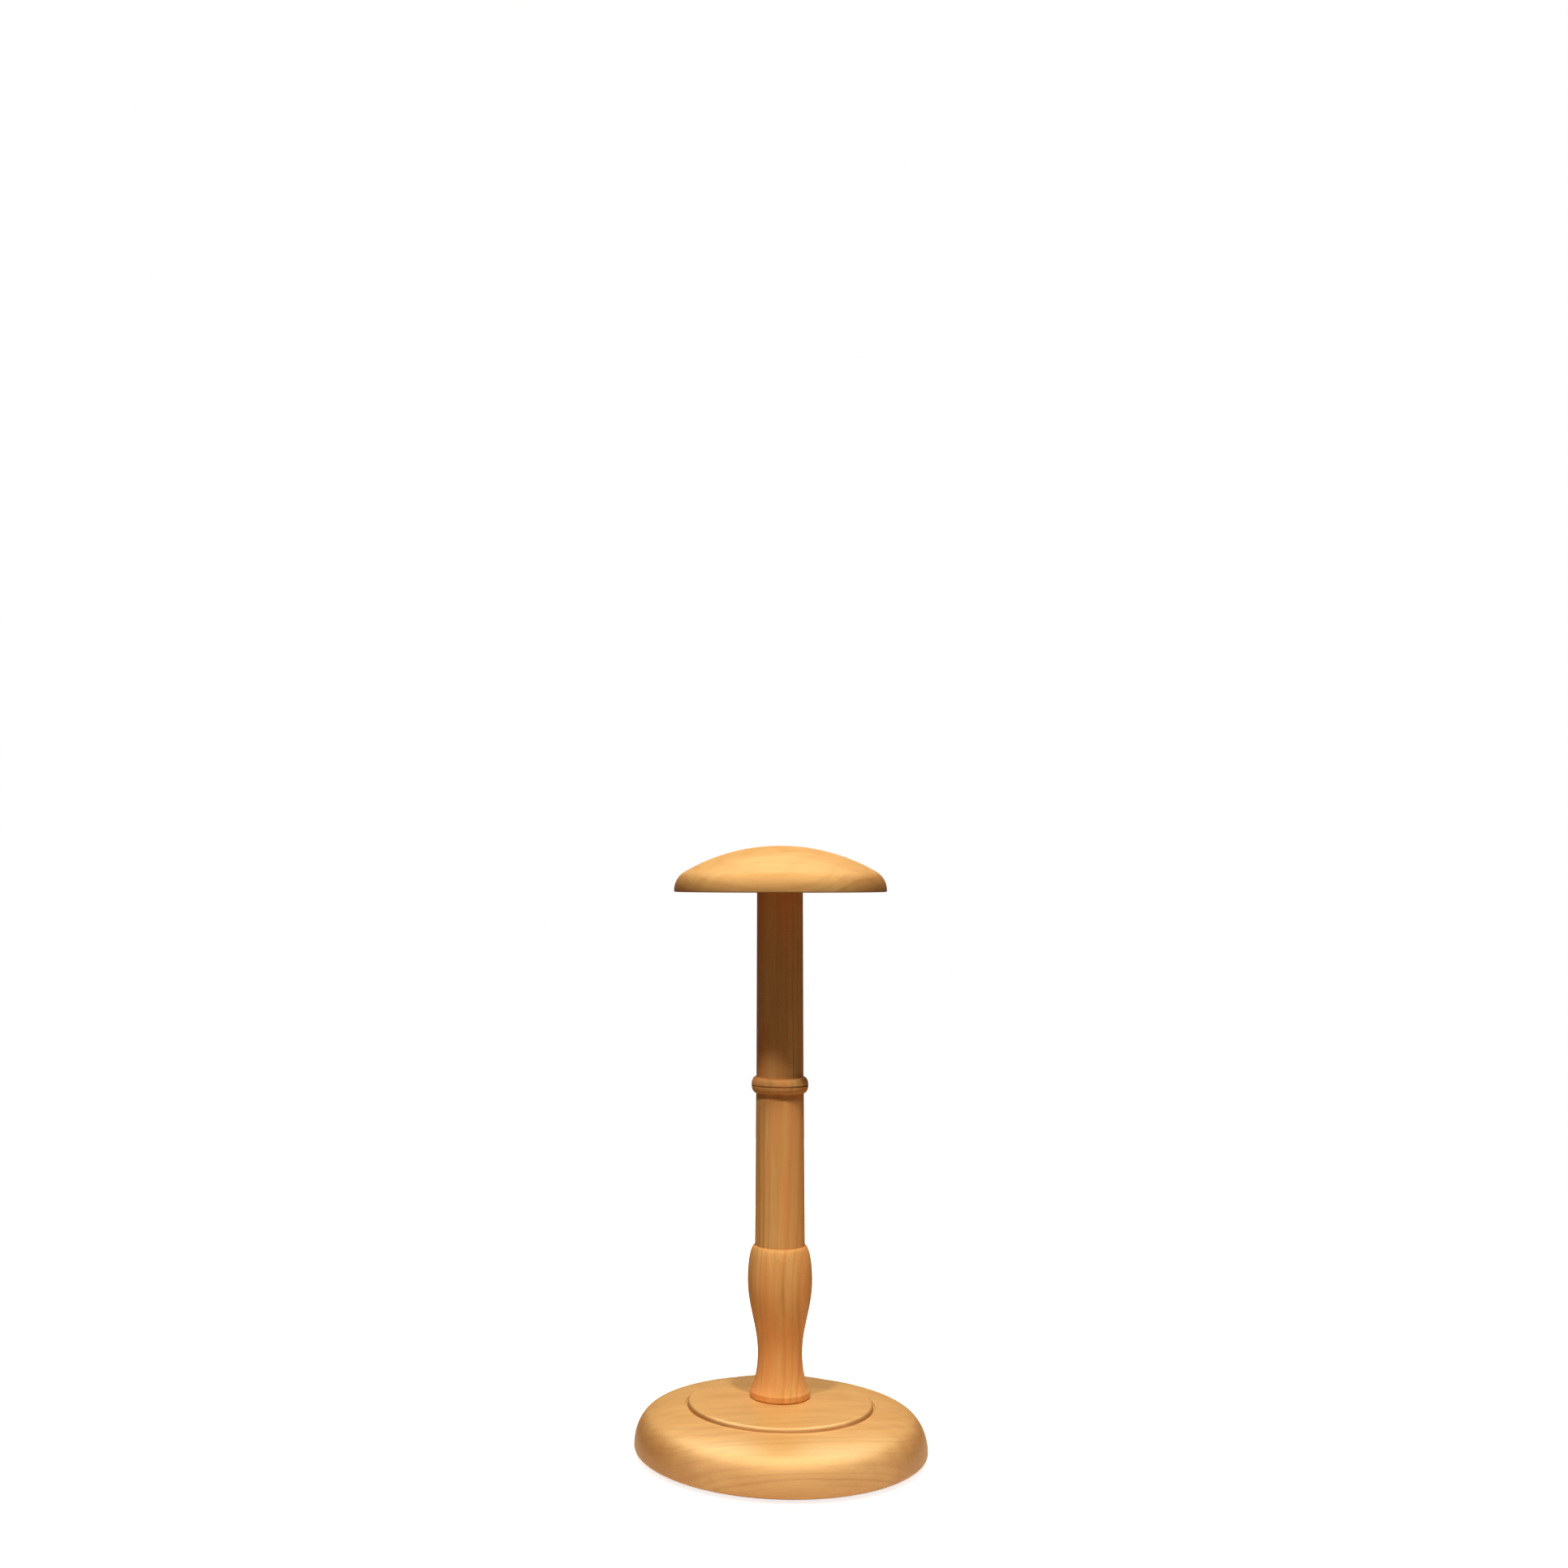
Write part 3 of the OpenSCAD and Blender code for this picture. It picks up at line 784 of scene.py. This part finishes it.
def pressed_felt(finish):
    """Pressed wool felt: a dark matt cloth of tangled fibres, with a pale nap and no weave."""
    material, tree, shader = new_material("pressed_felt")
    place = add(tree, "TexCoord").outputs["Object"]
    # Tangled fibres: short noise pushed about by a coarser one
    tangle = add(tree, "TexNoise", {"Vector": place, "Scale": per(3 * MM), "Detail": 2})
    tangled = add(tree, "VectorMath", {
        0: tangle.outputs["Color"], 1: [FELT_TANGLE] * 3, 2: place}, operation="MULTIPLY_ADD")
    nap = add(tree, "TexNoise", {"Vector": tangled, "Scale": per(0.7 * MM), "Detail": 5, "Roughness": 0.7})
    pale = add(tree, "MapRange", {"Value": nap, "From Min": 0.45, "From Max": 0.75})
    colour = add(tree, "Mix", {0: pale, 6: opaque(finish.felt), 7: opaque(finish.felt_pale)}, data_type="RGBA")
    relief = add(tree, "Bump", {"Strength": 0.6, "Distance": 0.25 * MM, "Height": nap})
    wire(tree, shader, {
        "Base Color": colour, "Normal": relief, "Roughness": 0.95,
        "Specular IOR Level": 0.1, "Sheen Weight": 0.35, "Sheen Roughness": 0.6})
    return material


def turn_wood(node, outline, segments, finish):
    """Turns a wooden piece from its outline and lacquers it."""
    smooth(add_piece(turn(outline, segments), node, lacquered_pine(node, finish)))


class WIGSTAND_OT_base(bpy.types.Operator):
    """Turn the base with its plinth"""
    bl_idname = "wigstand.base"
    bl_label = "Base"

    def execute(self, context):
        stand = context.scene.wig_stand
        turn_wood("base", base_outline(stand.base, stand.hardware), WIDE_SEGMENTS, stand.wood)
        return {"FINISHED"}


class WIGSTAND_OT_felt(bpy.types.Operator):
    """Cut the felt disc under the base"""
    bl_idname = "wigstand.felt"
    bl_label = "Felt disc"

    def execute(self, context):
        stand = context.scene.wig_stand
        shape = turn(felt_outline(stand.base), WIDE_SEGMENTS)
        radius = width("felt_disc") / 2
        # A knife follows the circle only roughly
        for vert in shape.verts:
            slip = 1 - FELT_SLIP / radius * (0.5 + 0.5 * noise.noise(vert.co * per(FELT_SLIP_W)))
            vert.co.x *= slip
            vert.co.y *= slip
        felt = add_piece(shape, "felt_disc", pressed_felt(stand.metal))
        smooth(felt)
        return {"FINISHED"}


class WIGSTAND_OT_column(bpy.types.Operator):
    """Turn the baluster column"""
    bl_idname = "wigstand.column"
    bl_label = "Column"

    def execute(self, context):
        stand = context.scene.wig_stand
        outline = column_outline(stand.column, stand.rod, stand.hardware)
        turn_wood("column", outline, SLIM_SEGMENTS, stand.wood)
        return {"FINISHED"}


class WIGSTAND_OT_extension(bpy.types.Operator):
    """Turn the extension rod"""
    bl_idname = "wigstand.extension"
    bl_label = "Extension"

    def execute(self, context):
        stand = context.scene.wig_stand
        turn_wood("extension", extension_outline(stand.rod, stand.hardware), SLIM_SEGMENTS, stand.wood)
        return {"FINISHED"}


class WIGSTAND_OT_head(bpy.types.Operator):
    """Turn the domed head"""
    bl_idname = "wigstand.head"
    bl_label = "Head"

    def execute(self, context):
        stand = context.scene.wig_stand
        turn_wood("head", head_outline(stand.head, stand.hardware), WIDE_SEGMENTS, stand.wood)
        return {"FINISHED"}


# Each screw joint: its bolt, its insert, the piece whose low end is the seam, and whether both are upside down
SCREW_JOINTS = (
    ("column_stud", "base_insert", "column", False),
    ("extension_stud", "column_insert", "extension", False),
    ("head_stud", "head_insert", "head", True),
)


def seat(seam, upside_down):
    """Matrix that takes a bolt or an insert from a seam at height 0 to its own seam."""
    turned = Matrix.Rotation(math.pi, 4, "X") if upside_down else Matrix.Identity(4)
    return Matrix.Translation((0, 0, seam)) @ turned


class WIGSTAND_OT_bolts(bpy.types.Operator):
    """Make the three hanger bolts"""
    bl_idname = "wigstand.bolts"
    bl_label = "Hanger bolts"

    def execute(self, context):
        stand = context.scene.wig_stand
        steel = zinc_plated_steel(stand.metal)
        for node, _, above, upside_down in SCREW_JOINTS:
            shape = hanger_bolt(stand.hardware)
            shape.transform(seat(low(above), upside_down))
            smooth(add_piece(shape, node, steel))
        return {"FINISHED"}


class WIGSTAND_OT_inserts(bpy.types.Operator):
    """Make the three threaded inserts"""
    bl_idname = "wigstand.inserts"
    bl_label = "Threaded inserts"

    def execute(self, context):
        stand = context.scene.wig_stand
        brass = turned_brass(stand.metal)
        sink = stand.hardware.insert_sink
        for _, node, above, upside_down in SCREW_JOINTS:
            shape = knife_insert(stand.hardware)
            shape.transform(seat(low(above), upside_down))
            insert = add_piece(shape, node, brass)
            cut_slot(insert, stand.hardware, low(above) + (sink if upside_down else -sink))
            smooth(insert)
        return {"FINISHED"}


def add_lamp(side, settings):
    """Adds a round soft lamp that looks at the middle of the stand."""
    azimuth, elevation, power = (getattr(settings, f"{side}_{what}") for what in ("azimuth", "elevation", "power"))
    name = side + "_lamp"
    light = bpy.data.lights.new(name, "AREA")
    light.shape, light.size, light.energy = "DISK", settings.lamp_size, power
    light.color = settings.lamp_tint
    lamp = bpy.data.objects.new(name, light)
    bpy.context.collection.objects.link(lamp)
    flat = math.cos(elevation)
    way = Vector((math.sin(azimuth) * flat, -math.cos(azimuth) * flat, math.sin(elevation)))
    middle = (CAD_BOX[0] + CAD_BOX[1]) / 2
    lamp.location = middle + settings.lamp_distance * way
    lamp.rotation_euler = way.to_track_quat("Z", "Y").to_euler()
    # Highlights come from the softbox in the world alone
    lamp.visible_camera = lamp.visible_glossy = False


def seen_rays(tree):
    """A node that is 1 for rays that the eye follows, straight or through something clear."""
    path = add(tree, "LightPath")
    return add(tree, "Math", {
        0: path.outputs["Is Camera Ray"], 1: path.outputs["Is Transmission Ray"]}, operation="MAXIMUM")


class WIGSTAND_OT_stage(bpy.types.Operator):
    """Add the floor, the lamps, the white surroundings and the camera"""
    bl_idname = "wigstand.stage"
    bl_label = "Stage"

    def execute(self, context):
        scene = context.scene
        settings = scene.wig_stand.stage
        scene.view_settings.view_transform = "Standard"
        self.add_camera(scene, settings)
        self.add_floor(settings)
        self.add_world(scene, settings)
        for side in ("left", "right", "back"):
            add_lamp(side, settings)
        return {"FINISHED"}

    def add_camera(self, scene, settings):
        data = bpy.data.cameras.new("camera")
        camera = bpy.data.objects.new("camera", data)
        scene.collection.objects.link(camera)
        data.lens = data.sensor_width * settings.lens_px / PHOTO_SIDE
        camera.location = (-settings.side, -settings.distance, low("base") + settings.eye)
        camera.rotation_euler = (math.pi / 2, 0, 0)
        axis_off = settings.side / settings.distance * settings.lens_px
        data.shift_x = (axis_off + PHOTO_SIDE / 2 - settings.axis_px) / PHOTO_SIDE
        data.shift_y = (settings.horizon_px - PHOTO_SIDE / 2) / PHOTO_SIDE
        scene.camera = camera

    def add_floor(self, settings):
        shape = bmesh.new()
        bmesh.ops.create_circle(shape, cap_ends=True, radius=FLOOR_R, segments=FLOOR_SEGMENTS)
        floor = add_object(shape, "floor")
        material, tree, shader = new_material("white_paper")
        tree.nodes.remove(shader)
        seen = seen_rays(tree)
        place = add(tree, "TexCoord").outputs["Object"]
        away = add(tree, "VectorMath", {0: place}, operation="LENGTH")
        # White to the eye, with the stand's soft shadow near it; its bounce is bright only close to the stand
        from_paper = add(tree, "VectorMath", {0: place, 1: (settings.paper_side, 0, 0)}, operation="DISTANCE")
        beyond = add(tree, "MapRange", {
            "Value": from_paper,
            "From Min": (1 - PAPER_SOFT) * settings.paper_r, "From Max": (1 + PAPER_SOFT) * settings.paper_r},
            interpolation_type="SMOOTHSTEP")
        bounce = add(tree, "Mix", {
            0: beyond, 6: opaque(settings.paper_tint), 7: opaque(settings.floor_tint)}, data_type="RGBA")
        colour = add(tree, "Mix", {0: seen, 6: bounce, 7: opaque([PAPER_WHITE] * 3)}, data_type="RGBA")
        glow = add(tree, "MapRange", {
            "Value": away, "From Min": GLOW_NEAR, "From Max": GLOW_FAR, "To Min": GLOW_LEAST},
            interpolation_type="SMOOTHSTEP")
        strength = add(tree, "Math", {0: glow, 1: seen}, operation="MULTIPLY")
        paper = add(tree, "BsdfDiffuse", {"Color": colour})
        white = add(tree, "Emission", {"Strength": strength})
        both = add(tree, "AddShader", {0: paper, 1: white})
        wire(tree, tree.nodes["Material Output"], {"Surface": both})
        floor.data.materials.append(material)

    def add_world(self, scene, settings):
        world = bpy.data.worlds.new("white_room")
        scene.world = world
        world.use_nodes = True
        tree = world.node_tree
        path = add(tree, "LightPath")
        soft = tree.nodes["Background"]
        wire(tree, soft, {"Color": opaque(settings.fill_tint), "Strength": settings.fill})
        # Glossy surfaces see a wide warm softbox overhead, white walls in front and a dim one behind
        way = add(tree, "TexCoord").outputs["Generated"]
        narrowed = add(tree, "VectorMath", {0: way, 1: (per(settings.softbox_wide), 1, 1)}, operation="MULTIPLY")
        even = add(tree, "VectorMath", {0: narrowed}, operation="NORMALIZE")
        steepness = add(tree, "SeparateXYZ", {0: even})
        overhead = add(tree, "MapRange", {
            "Value": steepness.outputs["Z"], "From Min": SOFTBOX_EDGE, "From Max": SOFTBOX_FULL},
            interpolation_type="SMOOTHSTEP")
        toward = add(tree, "SeparateXYZ", {0: way})
        walls = add(tree, "MapRange", {
            "Value": toward.outputs["Y"], "From Min": -WALL_TURN, "From Max": WALL_TURN,
            "To Min": settings.shine, "To Max": settings.back_shine}, interpolation_type="SMOOTHSTEP")
        room = add(tree, "Mix", {
            0: overhead, 6: walls, 7: opaque(settings.softbox_tint, settings.softbox)}, data_type="RGBA")
        shine = add(tree, "Background", {"Color": room})
        white = add(tree, "Background", {"Color": (1, 1, 1, 1), "Strength": 1})
        lit = add(tree, "MixShader", {0: path.outputs["Is Glossy Ray"], 1: soft, 2: shine})
        both = add(tree, "MixShader", {0: seen_rays(tree), 1: lit, 2: white})
        wire(tree, tree.nodes["World Output"], {"Surface": both})


OPERATORS = (
    WIGSTAND_OT_stage, WIGSTAND_OT_base, WIGSTAND_OT_felt, WIGSTAND_OT_column, WIGSTAND_OT_extension,
    WIGSTAND_OT_head, WIGSTAND_OT_bolts, WIGSTAND_OT_inserts,
)


class WIGSTAND_PT_pieces(bpy.types.Panel):
    """Lists the pieces of the wig stand"""
    bl_label = "Wig stand"
    bl_idname = "WIGSTAND_PT_pieces"
    bl_space_type = "VIEW_3D"
    bl_region_type = "UI"
    bl_category = "Wig stand"

    def draw(self, context):
        for operator in OPERATORS:
            self.layout.operator(operator.bl_idname)


CLASSES = (
    BaseSizes, ColumnSizes, RodSizes, HeadSizes, HardwareSizes, WoodFinish, MetalFinish, StageSettings, WigStand,
    *OPERATORS, WIGSTAND_PT_pieces,
)


def register():
    """Registers the classes and hangs the settings on the scene."""
    for cls in CLASSES:
        bpy.utils.register_class(cls)
    bpy.types.Scene.wig_stand = PointerProperty(type=WigStand)


def unregister():
    """Takes the settings and the classes away again."""
    del bpy.types.Scene.wig_stand
    for cls in reversed(CLASSES):
        bpy.utils.unregister_class(cls)


def main():
    """Registers the add-on and makes every piece."""
    register()
    bpy.ops.wigstand.stage()
    bpy.ops.wigstand.base()
    bpy.ops.wigstand.felt()
    bpy.ops.wigstand.column()
    bpy.ops.wigstand.extension()
    bpy.ops.wigstand.head()
    bpy.ops.wigstand.bolts()
    bpy.ops.wigstand.inserts()


if __name__ == "__main__":
    main()
